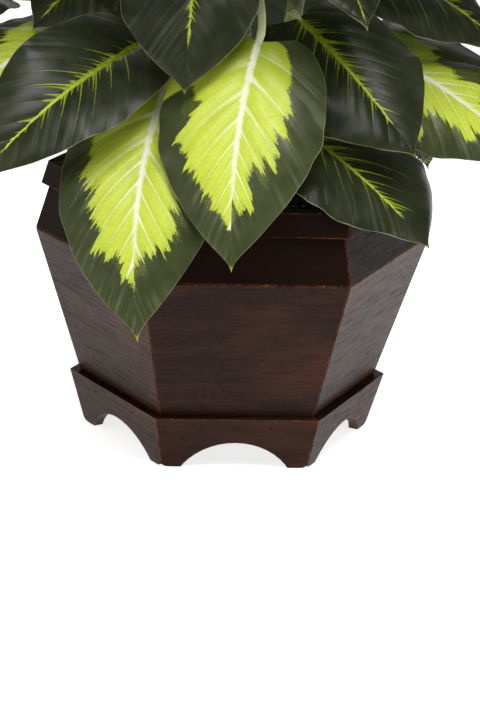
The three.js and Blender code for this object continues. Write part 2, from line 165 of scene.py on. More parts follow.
# The blade of a leaf, in millimetres and shares of its length and half width.
BLADE_THICKNESS = 0.7
HEEL_SHARE = 0.4
HEEL_CURVE = 2.4
POINT_CURVES = (1.9, 1.15)
NARROWEST = 0.008
DRIP_TIP = (0.5, 0.045)
BLADE_LOBE = 9
WAVE_TURN = 0.2
FRILL_HEIGHT = 0.5
FRILL_WAVES = 6.5
RIB_DEPTH = 2.4
RIB_WIDTH = 1.5
GROOVE_DEPTH = 0.5
GROOVE_WIDTH = 0.9
RIPPLE = 0.008
RIPPLE_WAVES = (4.3, 7.1)
ALONG_STEPS = 84
ACROSS_STEPS = 18
EVEN_STEPS = 0.65
NEAR_RIB = (0.018, 0.045, 0.08)
FROM_RIB = (0.13, 0.985)
EDGE_THINNING = 0.5

# The side veins of a blade: their number, how far they lean to the tip on the way out at the heel, with
# what the place along the midrib adds to it, how they curve, and how deep the blade is quilted.
VEINS = 10
GOLD_SLANT = (0.3, 2.2)
DARK_SLANT = (0.5, 0.9)
VEIN_CURVE = 0.93
VEIN_BEND = 1.6
VEIN_WANDER = (0.28, 9)
VEIN_SHIFT = 0.25
QUILT_GOLD = 0.8
QUILT_DARK = 0.32
QUILT_START = 0.12
QUILT_END = 1.05
QUILT_FADE = 0.25
PILLOW_CURVE = 0.7

# A plain leaf: where it is widest, how its two halves differ, its roll in degrees, how far its midrib
# swells up and sideways, its section, the waves of its edge, how a gold leaf's gold leans and fills the
# heel, and how strong a dark leaf's streaks are and where they end.
PLAIN_LEAF = {
    "widest": 0.38, "skew": 0, "lean": 0, "roll": 0, "arch": 10, "bend": 0, "rise": 0.2, "droop": 0.36,
    "wave": 2, "waves": 2.5, "gold": False, "tilt": 0, "heel": 0, "vigour": 1, "finish": 0.9,
}

# Each leaf: its cane, how high its sheath ends, the base and the tip of its blade, its width, and what
# sets it apart from a plain leaf.
LEAVES = [
    ("middle", 310, (5, -66, 290), (-14, -160, 163), 107, dict(bend=5, gold=True, tilt=0.1, heel=0.7)),
    ("front_left", 208, (-51, -50, 259), (-72, -162, 116), 104,
     dict(bend=9, arch=14, widest=0.46, droop=0.24, gold=True, tilt=0.04, heel=0.7)),
    ("front_left", 236, (-70, -43, 280), (-177, -114, 205), 88,
     dict(lean=-0.03, roll=-30, arch=16, rise=0.34, droop=0.26, finish=0.85)),
    ("middle", 334, (-31, -18, 381), (-44, -98, 262), 92,
     dict(lean=-0.06, widest=0.54, vigour=0.45, finish=0.8)),
    ("back_left", 250, (-106, 22, 273), (-194, -20, 226), 82, dict(roll=-22, arch=12, gold=True)),
    ("front_right", 240, (35, -22, 296), (109, -92, 222), 100,
     dict(roll=25, arch=6, lean=0.04, widest=0.46, finish=0.8)),
    ("front_right", 206, (28, -57, 234), (120, -105, 164), 120,
     dict(roll=12, arch=6, widest=0.48, skew=-0.15, lean=0.18, finish=0.8)),
    ("back_right", 316, (30, -20, 376), (69, -120, 312), 82, dict(vigour=0.3, finish=0.95)),
    ("back_right", 250, (82, 26, 268), (202, -34, 200), 114, dict(roll=25, gold=True, tilt=0.1)),
    ("back_right", 272, (74, 58, 322), (186, 12, 266), 94, dict(roll=14, lean=-0.06)),
    ("back_left", 316, (-72, 46, 322), (-141, 8, 276), 104, dict(roll=-20)),
    ("back_left", 272, (-164, 46, 290), (-207, 16, 266), 58, {}),
    ("back_right", 206, (84, 46, 232), (145, 84, 163), 76, {}),
    ("back_right", 228, (70, 70, 260), (128, 140, 158), 100, dict(gold=True)),
    ("middle", 250, (8, 80, 304), (14, 162, 178), 120, {}),
    ("back_left", 206, (-72, 62, 255), (-118, 140, 155), 100, dict(gold=True)),
    ("back_left", 228, (-100, 56, 264), (-180, 84, 182), 88, {}),
    ("back_left", 338, (-80, 10, 404), (-198, -20, 374), 98, {}),
    ("back_left", 294, (-40, 80, 368), (-96, 158, 298), 98, {}),
    ("back_right", 294, (46, 86, 362), (110, 158, 288), 98, dict(gold=True)),
    ("back_right", 338, (74, 20, 394), (206, 5, 366), 100, {}),
    ("middle", 378, (-36, -46, 424), (-112, -146, 392), 98, dict(gold=True)),
    ("middle", 400, (32, -44, 430), (88, -150, 406), 98, {}),
    ("middle", 356, (-34, 24, 432), (-130, 70, 474), 98, {}),
    ("middle", 357, (30, 22, 436), (118, 58, 490), 98, dict(gold=True)),
    ("middle", 286, (0, 60, 394), (0, 161, 356), 100, dict(gold=True)),
]

# The rolled young leaf, in millimetres, and its radius along its length.
SPEAR_RINGS = 40
SPEAR_SIDES = 40
SPEAR = {
    "length": 72, "radius": 5.4, "overlap": 0.16, "twist": 2.2, "lean": 5, "ribs": 0.12, "lift": 0.3,
}
SPEAR_PROFILE = ((0, 0.62), (0.12, 0.8), (0.35, 1), (0.6, 0.84), (0.8, 0.52), (0.94, 0.2), (1, 0.04))

# The stage, in metres and watts: the floor, and for each light its place, size and power.
FLOOR_RADIUS = 30.0
FLOOR_SIDES = 96
FLOOR_GLOW = 0.8
SKY_GLOW = 0.1
LIGHT_AIM = Vector((0, 0, 0.25))
LIGHTS = {
    "top": ((0.0, -0.75, 2.4), 1.5, 58),
    "front": ((-1.3, -1.7, 2.2), 0.9, 5),
    "back": ((0.3, 2.2, 1.7), 1.6, 10),
    "right": ((2.1, -0.5, 0.9), 1.2, 7),
    "left": ((-2.0, -0.9, 0.9), 1.2, 4),
}


class Value:
    """A number in a material's node tree, so that shader arithmetic reads as arithmetic."""

    def __init__(self, tree, socket):
        self.tree = tree
        self.socket = socket

    def math(self, operation, *terms):
        node = make_node(self.tree, "Math", self, *terms, operation=operation)
        return Value(self.tree, node.outputs[0])

    def __add__(self, other):
        return self.math("ADD", other)

    def __sub__(self, other):
        return self.math("SUBTRACT", other)

    def __mul__(self, other):
        return self.math("MULTIPLY", other)

    def __truediv__(self, other):
        return self.math("DIVIDE", other)

    def __pow__(self, other):
        return self.math("POWER", other)

    def below(self, limit, soft):
        """1 where this is well below limit, 0 where it is well above, with a soft step between."""
        return (self - limit).ramp(soft, -soft)

    def ramp(self, low, high):
        """0 at low, 1 at high, smooth between."""
        node = make_node(self.tree, "MapRange", self, low, high, interpolation_type="SMOOTHSTEP")
        return Value(self.tree, node.outputs["Result"])


def make_node(tree, kind, *terms, **settings):
    """A node of one kind with its settings, and with the terms on its inputs, in their order."""
    node = tree.nodes.new("ShaderNode" + kind)
    for name, setting in settings.items():
        setattr(node, name, setting)
    for term, slot in zip(terms, node.inputs):
        feed(tree, term, slot)
    return node


def feed(tree, term, slot):
    """Puts a Value, a socket, a plain number or a screen colour on an input. None leaves it as it is."""
    if isinstance(term, Value):
        tree.links.new(term.socket, slot)
    elif isinstance(term, bpy.types.NodeSocket):
        tree.links.new(term, slot)
    elif isinstance(term, str):
        slot.default_value = linear_colour(term)
    elif term is not None:
        slot.default_value = term


def linear_colour(text):
    """A linear colour from a six-digit screen colour."""
    channels = [int(text[i:i + 2], 16) / 255 for i in (0, 2, 4)]
    return [c / 12.92 if c <= 0.04045 else ((c + 0.055) / 1.055) ** 2.4 for c in channels] + [1.0]


def coats(tree, base, *layers):
    """The colour base with other colours laid over it in turn, each as strong as its share, from 0 to 1."""
    for share, over in layers:
        node = make_node(tree, "Mix", share, data_type="RGBA")
        first, second = [slot for slot in node.inputs if slot.type == "RGBA"]
        feed(tree, base, first)
        feed(tree, over, second)
        base = node.outputs[2]
    return base


def noise(tree, vector=None, w=None, scale=1.0, detail=2.0, roughness=0.5):
    """Noise from 0 to 1 round 0.5, over a vector, along one number w, or else over the place."""
    if w is None:
        vector = vector or place(tree)
    node = make_node(tree, "TexNoise", vector, w, scale, detail, roughness,
                     noise_dimensions="3D" if w is None else "1D")
    return Value(tree, node.outputs["Fac"])


def random_of(tree, w):
    """A number from 0 to 1 that is drawn anew for each value of w."""
    node = make_node(tree, "TexWhiteNoise", None, w, noise_dimensions="1D")
    return Value(tree, node.outputs["Value"])


def split(tree, vector):
    """The three numbers of a vector."""
    return [Value(tree, socket) for socket in make_node(tree, "SeparateXYZ", vector).outputs]


def join(tree, x, y, z):
    """A vector of three numbers."""
    return make_node(tree, "CombineXYZ", x, y, z).outputs[0]


def attribute(tree, name):
    """The three numbers that a mesh stores at each point under this name."""
    return split(tree, make_node(tree, "Attribute", attribute_name=name).outputs["Vector"])


def place(tree):
    """The place in the frame, in metres, as a vector."""
    return make_node(tree, "TexCoord").outputs["Object"]


def paint(tree, shader, base, height, distance, strength):
    """Gives a shader its colour, and its relief in metres."""
    feed(tree, base, shader.inputs["Base Color"])
    node = make_node(tree, "Bump")
    for label, term in (("Height", height), ("Distance", distance), ("Strength", strength)):
        feed(tree, term, node.inputs[label])
    feed(tree, node.outputs["Normal"], shader.inputs["Normal"])


def new_material(name, roughness=0.5, specular=0.5):
    """A material with an empty Principled shader, its tree and the shader."""
    material = bpy.data.materials.new(name)
    material.use_nodes = True
    shader = material.node_tree.nodes["Principled BSDF"]
    shader.inputs["Roughness"].default_value = roughness
    shader.inputs["Specular IOR Level"].default_value = specular
    return material, material.node_tree, shader


# The darkest wood tone serves the stain and the grain, and also the painted shade above the body.
WOOD_DARK_AND_SHADE = "180d08"
WOOD_BROWN = "33211a"
WOOD_RED = "44261a"
WOOD_WORN = "7c3f22"
WOOD_TAN = "a07550"


def wood_material(face):
    """Dark stained boards for one face: fine grain along the board, reddish patches, worn edges, and painted
    shade on the tiers above the body.
    """
    material, tree, shader = new_material(f"dark_wood_{face}")
    turn = HALF_FACE * (2 * face - 1)
    x, y, z = split(tree, place(tree))
    out = x * math.cos(turn) + y * math.sin(turn)
    along = y * math.cos(turn) - x * math.sin(turn)
    board = join(tree, out + face * 1.7, along, z)
    drift = noise(tree, board, scale=9, detail=1)
    grain_place = join(tree, out * 200, along * 30 + face * 7.3, z * 1200 + drift * 5)
    grain = noise(tree, grain_place, roughness=0.6)
    band_place = join(tree, out * 40, along * 4 + face * 3.1, z * 120 + drift * 2)
    bands = noise(tree, band_place, detail=3)
    patches = noise(tree, join(tree, out + face * 1.7, along * 0.55, z * 1.3), scale=20, detail=3)
    mottle = noise(tree, board, scale=210, detail=4, roughness=0.7)
    lines = grain.ramp(0.5, 0.62)
    stain = bands.ramp(0.25, 0.75) * 0.5 + mottle.ramp(0.3, 0.7) * 0.3
    above_plinth = z.ramp(*PLINTH_TOP)
    painted_shade_above_body = z.ramp(*BODY_TOP)
    edge = worn_edge(tree)
    rubbed = noise(tree, board, scale=120, detail=3).ramp(0.42, 0.58)
    bare = edge * noise(tree, board, scale=420).ramp(0.6, 0.66)
    base = coats(
        tree, WOOD_BROWN,
        (stain, WOOD_DARK_AND_SHADE),
        (patches.ramp(0.42, 0.68) * 0.7, WOOD_RED),
        (lines * (above_plinth * 0.3 + 0.15), WOOD_DARK_AND_SHADE),
        # Painted shade: the shoulder and rim, above the body, are darkened where the foliage shades them.
        (painted_shade_above_body * 0.9, WOOD_DARK_AND_SHADE),
        (edge * (rubbed * 0.85 + 0.12), WOOD_WORN),
        (bare * 0.7, WOOD_TAN),
    )
    feed(tree, mottle * 0.25 + lines * 0.15 + 0.3, shader.inputs["Roughness"])
    glance = Value(tree, make_node(tree, "LayerWeight", 0.5).outputs["Facing"]).ramp(0.2, 0.85)
    gloss = (glance * 0.06 + 0.07) * (painted_shade_above_body * -0.45 + 1)
    feed(tree, gloss, shader.inputs["Specular IOR Level"])
    paint(tree, shader, base, lines * -0.25 + mottle * 0.6, 0.2 * MM, 0.4)
    return material


def worn_edge(tree):
    """1 on the board's edges and 0 away from them, from how much a rounded normal turns there."""
    rounded = make_node(tree, "Bevel", WEAR_RADIUS, samples=4).outputs["Normal"]
    plain = make_node(tree, "NewGeometry").outputs["True Normal"]
    product = make_node(tree, "VectorMath", rounded, plain, operation="DOT_PRODUCT")
    return Value(tree, product.outputs["Value"]).ramp(0.985, 0.93)


GOLD = "c8d74a"
# The deeper gold is the leaf's own tone, and also the painted shade in the gold's furrows.
GOLD_DEEP = "a3b42c"
GOLD_PALE = "edeed2"
GOLD_BASE = "7b8c1a"
DARK = "30341f"
DARK_DEEP = "232717"
# The two sheen colours are painted sheen on the green of the blades; the darker one also dulls the dark
# blades' streaks further out.
DARK_SHEEN = "4a4e40"
MARGIN_SHEEN = "6b7058"
MARGIN_GREEN = "41472a"
MARGIN_DEEP = "363c20"
# A painted highlight along the edges of the blades.
EDGE_HIGHLIGHT = "8f9160"
UNDER = "4d5c36"


def vein_field(tree, along, across, spread, seed, slant):
    """The side veins: how far out a point is, where its vein leaves the midrib, a line number that
    wanders with it, a number drawn for each vein, and the distance to the vein in vein spacings."""
    reach = across.math("ABSOLUTE")
    aside = reach * spread
    out = aside ** VEIN_CURVE * (aside * VEIN_BEND + 1)
    foot = (along - out * slant[0]) / (out * slant[1] + 1)
    side = across.math("SIGN")
    wander = (foot * VEIN_WANDER[1] + seed).math("SINE") * VEIN_WANDER[0]
    phase = foot * VEINS + side * VEIN_SHIFT + wander
    draw = random_of(tree, phase.math("FLOOR") + side * 40 + seed * 17)
    apart = (phase.math("FRACT") - 0.5).math("ABSOLUTE")
    return reach, foot, phase + side * 50 + seed * 9, draw, apart


def gold_reach(tree, across, foot, line, draw, hair, seed, tilt, heel):
    """How far out the gold comes: long tongues between the veins, shorter and then none at the tip."""
    side = across.math("SIGN")
    rest = foot.ramp(0.84, 0.06) ** 0.55
    tongue = random_of(tree, (foot * 7 + side * 0.3 + seed).math("FLOOR") + side * 9 + seed * 3)
    feather = noise(tree, w=line * 3.2, roughness=0.65)
    full = (foot - side * 0.1 + 0.03).ramp(0.02, -0.03) * heel
    limit = rest * (side * tilt + 0.66) + full - 0.02
    ragged = (tongue - 0.5) * 0.32 + (draw - 0.5) * 0.36 + (feather - 0.5) * 0.3 + (hair - 0.5) * 0.1
    return limit + ragged * (foot.ramp(0.06, 0.24) * 0.76 + 0.24) * rest.math("SQRT")


def gold_blade(tree, off, along, reach, foot, draw, apart, lit_limit, hair, fine):
    """The gold of a blade, with pale veins, painted shade in the furrows beside them and a whitish midrib."""
    rest = foot.ramp(0.95, 0.05)
    cloud = noise(tree, scale=55, detail=3)
    mottle = noise(tree, scale=420, detail=3, roughness=0.7)
    shade = hair.ramp(0.3, 0.75) * 0.3 + cloud.ramp(0.4, 0.75) * 0.2 + mottle.ramp(0.45, 0.7) * 0.35
    roots = (reach * -2.4).math("EXPONENT")
    flare = (reach * -14).math("EXPONENT")
    veins = apart.below(roots * 0.05 + flare * 0.12 + 0.006, 0.045) * roots * (draw * 0.8 + 0.2)
    # Painted shade: the gold is darkened in the furrows beside the veins, as the quilting would shade them.
    furrow_shade = (apart - 0.16).math("ABSOLUTE").below(0.04, 0.06) * (roots * 0.5 + 0.1)
    ridge = rest * 1.3 + (fine - 0.5) * 2.6 + (hair - 0.5) * 0.6 + 0.5
    pale = (off - ridge).ramp(1.5, -0.8) * along.ramp(0.85, 0.5)
    return coats(
        tree, GOLD,
        (shade, GOLD_DEEP),
        ((along - reach * 0.12).ramp(0.22, 0.0) * 0.8, GOLD_BASE),
        ((lit_limit - reach).ramp(0.1, 0.0) * 0.35, GOLD_DEEP),
        (veins * along.ramp(0.02, 0.14), GOLD_PALE),
        (furrow_shade * 0.75, GOLD_DEEP),
        (pale * 0.92, GOLD_PALE),
    )


def streaks_along(tree, phase_line, reach, rest, seed, width, longest, power):
    """Gold streaks that leave the midrib along the side veins, each drawn to its own length."""
    draw = random_of(tree, phase_line.math("FLOOR") + seed * 31)
    strength = random_of(tree, phase_line.math("FLOOR") + seed * 53 + 7)
    apart = (phase_line.math("FRACT") - 0.5).math("ABSOLUTE")
    length = draw ** power * rest * longest + 0.03
    flare = (reach * -20).math("EXPONENT") * width * 2
    taper = (length - reach) / length * (strength * 0.7 + 0.5) * width + flare
    return (apart - taper).ramp(0.03, -0.02) * (reach - length).ramp(0.0, -0.05)


def dark_blade(tree, off, along, reach, foot, line, fine, seed, vigour, finish):
    """The gold of a dark blade: where it lies, along the midrib and in streaks, and its colour."""
    rest = (foot / finish).ramp(1.0, 0.05)
    sway = noise(tree, w=line * 1.3, detail=1)
    spots = noise(tree, scale=330, detail=3, roughness=0.7)
    inside = (along / finish).ramp(1.02, 0.94)
    eager = rest.math("SQRT") * vigour
    streaks = streaks_along(tree, line, reach, eager, seed, 0.055, 0.95, 0.8)
    medium = streaks_along(tree, line * 2 + sway * 2, reach, eager, seed + 2, 0.08, 0.55, 1.6)
    short = streaks_along(tree, line * 4 + sway * 3, reach, eager, seed + 4, 0.13, 0.24, 2.2)
    streaks = streaks.math("MAXIMUM", medium).math("MAXIMUM", short)
    ragged = (fine + spots * 2 - 1.5) * 1.3
    band = rest * (sway * 3.2 + 0.6) * (vigour * 0.6 + 0.4) + ragged + 0.2
    holes = spots.ramp(0.52, 0.62) * (off - 0.5).ramp(0.0, 0.5) * 0.65
    middle = (off - band).ramp(0.35, -0.25) * (holes * -1 + 1)
    core = (off - 0.4 - spots).ramp(0.5, -0.4) * along.ramp(0.1, 0.5)
    bright = coats(
        tree, GOLD_DEEP,
        ((fine * 0.4 + spots * 0.6).ramp(0.38, 0.56), GOLD_BASE),
        (core * 0.7, GOLD),
        (reach.ramp(0.1, 0.6) * 0.4, DARK_SHEEN),
    )
    return streaks.math("MAXIMUM", middle) * inside, bright


def leaf_material(name, gold, under=False):
    """A blade: dark green with a gold midrib and streaks, or gold with a feathered dark margin."""
    material, tree, shader = new_material(name, specular=0.2)
    along, across, half = attribute(tree, "blade")
    seed, *gold_lies = attribute(tree, "look")
    spread = attribute(tree, "spread")[0]
    slant = GOLD_SLANT if gold else DARK_SLANT
    reach, foot, line, draw, apart = vein_field(tree, along, across, spread, seed, slant)
    off = reach * half
    fine = noise(tree, w=line * 5, roughness=0.6)
    hair = noise(tree, w=line * 11, detail=1, roughness=0.7)
    cloud = noise(tree, scale=55, detail=3)
    sheen = noise(tree, w=along * 5 + across * 3 + seed).ramp(0.35, 0.65)
    crumple = noise(tree, scale=70)
    # Painted sheen: paler streaks along the quilting are laid on the green, as if they caught the light.
    painted_sheen = noise(tree, w=line * 2.4 + crumple * 0.4).ramp(0.46, 0.68)
    painted_sheen = painted_sheen * noise(tree, scale=24).ramp(0.42, 0.62)
    deep, plain, glow = (MARGIN_DEEP, MARGIN_GREEN, MARGIN_SHEEN) if gold else (DARK_DEEP, DARK, DARK_SHEEN)
    green = coats(tree, deep, (cloud.ramp(0.3, 0.7), plain), (painted_sheen * 0.5, glow))
    if gold:
        limit = gold_reach(tree, across, foot, line, draw, hair, seed, *gold_lies)
        grain = noise(tree, scale=520, detail=3, roughness=0.7)
        lit = (reach - limit + (grain - 0.5) * 0.12).ramp(0.024, -0.016)
        bright = gold_blade(tree, off, along, reach, foot, draw, apart, limit, hair, fine)
    else:
        lit, bright = dark_blade(tree, off, along, reach, foot, line, fine, seed, *gold_lies)
    # Painted highlight: a pale line along the blade's edge, where the thin margin would catch the light.
    rim = ((reach * -1 + 1) * half).ramp(0.5, 0.15) * (sheen * 0.7 + 0.2)
    tip = along.ramp(0.972, 0.99) * (0.7 if gold else 0.3)
    surface = coats(tree, green, (lit, bright), (rim, EDGE_HIGHLIGHT), (tip, GOLD_DEEP))
    if under:
        surface = coats(tree, surface, (0.45 if gold else 0.6, UNDER))
    feed(tree, cloud * 0.2 - painted_sheen * 0.06 + (0.5 if under else 0.22), shader.inputs["Roughness"])
    vein = apart.below(0.05, 0.035)
    paint(tree, shader, surface, hair * 0.25 + fine * 0.35 - vein * 0.5, 0.25 * MM, 0.5)
    return material


def stalk_material():
    """Petioles and sheaths: pale yellow-green with fine darker streaks."""
    material, tree, shader = new_material("stalk", roughness=0.4)
    along, around = attribute(tree, "blade")[:2]
    spots = noise(tree, scale=260, detail=3)
    streaks = noise(tree, join(tree, along * 6, around * 40, 0.0))
    base = coats(
        tree, "7d8c3e",
        (streaks.ramp(0.35, 0.7), "b9c27c"),
        (spots.ramp(0.56, 0.72) * 0.6, "46561f"),
        (along.ramp(0.3, 0.0) * 0.5, "4d6224"),
        (along.ramp(0.3, 0.65) * 0.8, "e2e6ae"),
    )
    paint(tree, shader, base, streaks, 0.2 * MM, 0.5)
    return material


def cane_material():
    """Canes: green and tan bark between pale leaf scars."""
    material, tree, shader = new_material("cane")
    along, around, ring = attribute(tree, "blade")
    streaks = noise(tree, join(tree, along * 30, around * 30, 0.0), detail=3)
    blots = noise(tree, scale=90, detail=3)
    base = coats(
        tree, "5d6a33",
        (streaks.ramp(0.35, 0.7), "7d8650"),
        (blots.ramp(0.52, 0.7) * 0.7, "8d7a55"),
        (along.ramp(0.35, 0.0) * 0.6, "6e5b3f"),
        (ring.ramp(0.4, 1.0) * 0.8, "b9a983"),
    )
    paint(tree, shader, base, streaks * 0.6 + blots * 0.4, 0.5 * MM, 0.6)
    return material


def spear_material():
    """The rolled leaf: bright yellow-green with the lines of its side veins."""
    material, tree, shader = new_material("young_blade", roughness=0.35)
    along, around = attribute(tree, "blade")[:2]
    lines = noise(tree, w=along * 40 + around * 8)
    base = coats(tree, "9bb52e", (lines.ramp(0.4, 0.65), "cfdc6a"), (along.ramp(0.7, 1.0) * 0.6, "6c8a22"))
    paint(tree, shader, base, lines, 0.2 * MM, 0.6)
    return material


def soil_material():
    """Damp potting soil: dark brown, with paler grains."""
    material, tree, shader = new_material("soil", roughness=0.95, specular=0.2)
    coarse = noise(tree, scale=180, detail=5, roughness=0.7)
    fine = noise(tree, scale=900, detail=3)
    base = coats(tree, "1d130c", (coarse.ramp(0.35, 0.7), "463222"), (fine.ramp(0.62, 0.75) * 0.6, "7a5f45"))
    paint(tree, shader, base, coarse * 0.7 + fine * 0.3, 1.2 * MM, 0.8)
    return material


# Plain stuffs: two screen colours, the roughness, and the scale of the grain.
STUFFS = {
    "bark_chip": ("2a180e", "6b4a30", 0.85, 700),
    "perlite": ("b9b4a6", "e4e0d4", 0.9, 900),
    "moss_green": ("4d5a22", "8b9440", 0.9, 400),
    "moss_pale": ("8f8a63", "c4bf9a", 0.9, 400),
    "liner_plastic": ("141413", "1f1f1e", 0.55, 300),
    "dark_filler": ("050302", "0d0806", 0.9, 500),
}


def speckled_material(name, dark, light, roughness, scale):
    """A plain stuff whose colour wanders between two shades."""
    material, tree, shader = new_material(name, roughness=roughness, specular=0.3)
    grain = noise(tree, scale=scale, detail=4, roughness=0.65)
    paint(tree, shader, coats(tree, dark, (grain.ramp(0.32, 0.7), light)), grain, 0.3 * MM, 0.5)
    return material


def add_object(name, data):
    """A new object in the scene."""
    thing = bpy.data.objects.new(name, data)
    bpy.context.scene.collection.objects.link(thing)
    return thing


def make_mesh(name, points, faces, materials, slots=None, attributes=None):
    """A smooth mesh object from points in millimetres, riding on the part."""
    mesh = bpy.data.meshes.new(name)
    mesh.from_pydata((np.asarray(points) * MM).tolist(), [], faces)
    for material in materials:
        mesh.materials.append(material)
    if slots is not None:
        mesh.polygons.foreach_set("material_index", slots)
    for label, values in (attributes or {}).items():
        layer = mesh.attributes.new(label, "FLOAT_VECTOR", "POINT")
        layer.data.foreach_set("vector", np.asarray(values, np.float32).ravel())
    mesh.shade_smooth()
    mesh.set_sharp_from_angle(angle=math.radians(SHARP_ANGLE))
    mesh.validate()
    piece = add_object(name, mesh)
    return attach(piece, "root")


def loft_faces(rings, loop, start=0):
    """Faces that join rings of loop points into one closed body, with flat ends."""
    faces = []
    for i in range(rings - 1):
        low = start + i * loop
        for k in range(loop):
            after = (k + 1) % loop
            faces.append((low + k, low + after, low + loop + after, low + loop + k))
    faces.append(tuple(start + k for k in reversed(range(loop))))
    faces.append(tuple(start + (rings - 1) * loop + k for k in range(loop)))
    return faces


def add_part(points, faces, more_points, more_faces):
    """Appends one part's points and faces to a piece's lists."""
    faces += [tuple(len(points) + i for i in face) for face in more_faces]
    points += list(more_points)


def unit(vector):
    """The direction of a vector, as a vector of length 1."""
    vector = np.asarray(vector, float)
    return vector / np.linalg.norm(vector)


def turned(vector, axis, degrees):
    """A vector turned about an axis."""
    return np.array(Matrix.Rotation(math.radians(degrees), 3, Vector(axis)) @ Vector(vector))


def circle(sides):
    """The points of a flat circle of radius 1."""
    turn = 2 * np.pi * np.arange(sides) / sides
    return np.stack([np.cos(turn), np.sin(turn)], 1)


def set_out(centre, side, up, offsets):
    """A flat loop's points, placed round a centre."""
    return centre + offsets[:, :1] * side + offsets[:, 1:] * up


def cane_line(name):
    """Where a cane's axis starts at the soil's edge, its direction, and its end."""
    foot, end = CANES[name]
    start = np.array([foot[0], foot[1], SOIL_EDGE], float)
    end = np.array(end, float)
    return start, unit(end - start), end


class Blade:
    """The surface of one leaf's blade."""

    def __init__(self, cane, hold, base, tip, width, traits, seed):
        for key, value in {**PLAIN_LEAF, **traits}.items():
            setattr(self, key, value)
        self.cane = cane
        self.hold = hold
        self.width = width
        self.seed = seed
        self.base = np.array(base, float)
        self.chord = np.array(tip, float) - self.base
        axis = unit(self.chord)
        self.up = turned(unit(np.array([0, 0, 1]) - axis * axis[2]), axis, self.roll)
        self.side = np.cross(axis, self.up)

    def midrib(self, share):
        """Points of the midrib at shares of its length."""
        swell = (4 * share * (1 - share))[:, None]
        return self.base + share[:, None] * self.chord + swell * (self.up * self.arch + self.side * self.bend)

    def direction(self, share):
        """Where the midrib heads at shares of its length."""
        slope = (4 * (1 - 2 * share))[:, None]
        way = self.chord + slope * (self.up * self.arch + self.side * self.bend)
        return way / np.linalg.norm(way, axis=1, keepdims=True)

    def half_width(self, share, across):
        """How wide the half of the blade on this side of the midrib is."""
        widest = self.widest + self.skew * np.sign(across)
        back = np.clip((widest - share) / widest, 0, 1)
        out = np.clip((share - widest) / (1 - widest), 0, 1)
        heel = HEEL_SHARE + (1 - HEEL_SHARE) * np.sqrt(1 - back ** HEEL_CURVE)
        point = np.maximum(NARROWEST, (1 - out ** POINT_CURVES[0]) ** POINT_CURVES[1])
        point = point * (1 - DRIP_TIP[0] * np.exp(-((1 - share) / DRIP_TIP[1]) ** 2 * 0.5))
        return self.width / 2 * np.where(share < widest, heel, point) * (1 - self.lean * np.sign(across))

    def quilt(self, share, across):
        """The side veins sunk between low pillows."""
        reach = np.abs(across)
        aside = reach * self.half_width(share, across) / np.linalg.norm(self.chord)
        out = aside ** VEIN_CURVE * (aside * VEIN_BEND + 1)
        slant = GOLD_SLANT if self.gold else DARK_SLANT
        foot = (share - slant[0] * out) / (1 + slant[1] * out)
        phase = VEINS * foot + VEIN_SHIFT * np.sign(across)
        phase = phase + VEIN_WANDER[0] * np.sin(VEIN_WANDER[1] * foot + self.seed)
        pillow = np.abs(np.cos(np.pi * phase)) ** PILLOW_CURVE
        fade = np.clip(reach / QUILT_START, 0, 1) * np.clip((QUILT_END - reach) / QUILT_FADE, 0, 1)
        fade = fade * np.sin(np.pi * share) ** 0.5
        depth = QUILT_GOLD if self.gold else QUILT_DARK
        return depth * (1 - 2 * pillow) * -fade

    def sections(self):
        """Loops of points round the blade, upper face then lower, with what the shader reads at each."""
        step = np.arange(ALONG_STEPS + 1) / ALONG_STEPS
        share = (EVEN_STEPS * step + (1 - EVEN_STEPS) * (1 - np.cos(np.pi * step)) / 2)[:, None]
        half = np.concatenate([NEAR_RIB, np.linspace(*FROM_RIB, ACROSS_STEPS - len(NEAR_RIB)), [1]])
        across = np.concatenate([-half[::-1], [0], half])[None, :]
        wide = self.half_width(share, across)
        reach = np.abs(across)
        belly = np.sin(np.pi * share)
        turn = 2 * np.pi * (self.waves * share + WAVE_TURN * across)
        height = wide * (self.rise * reach - self.droop * reach ** 2)
        height = height + self.wave * reach ** 2 * np.sin(turn) * belly
        slow, quick = RIPPLE_WAVES
        ripple = np.sin(2 * np.pi * (slow * share + 0.7 * self.seed))
        ripple = ripple + np.sin(2 * np.pi * (quick * share - self.seed))
        wide = wide * (1 + RIPPLE * ripple * belly * np.where(across > 0, 1, -0.8))
        frill = np.sin(2 * np.pi * (FRILL_WAVES * share + self.seed) + 3 * across)
        height = height + FRILL_HEIGHT * reach ** 4 * frill * belly
        off = across * wide
        groove = GROOVE_DEPTH * (1 - share) * np.exp(-(off / GROOVE_WIDTH) ** 2)
        upper = height + self.quilt(share, across) - groove
        slim = BLADE_THICKNESS * (1 - EDGE_THINNING * reach ** 6)
        lower = upper - slim - RIB_DEPTH * (1 - share) * np.exp(-(off / RIB_WIDTH) ** 2) + groove
        lag = -BLADE_LOBE * across ** 2 * (1 - share) ** 4
        centre = self.midrib(share[:, 0])[:, None, :]
        way = self.direction(share[:, 0])
        side = np.cross(way, self.up)
        side /= np.linalg.norm(side, axis=1, keepdims=True)
        up = np.cross(side, way)
        faces = []
        for z in (upper, lower):
            faces.append(centre + side[:, None] * off[..., None] + up[:, None] * z[..., None]
                         + way[:, None] * lag[..., None])
        points = np.concatenate([faces[0], faces[1][:, ::-1]], axis=1)
        stored = np.stack(np.broadcast_arrays(share, across, wide), axis=2)
        stored = np.concatenate([stored, stored[:, ::-1]], axis=1)
        return points, stored


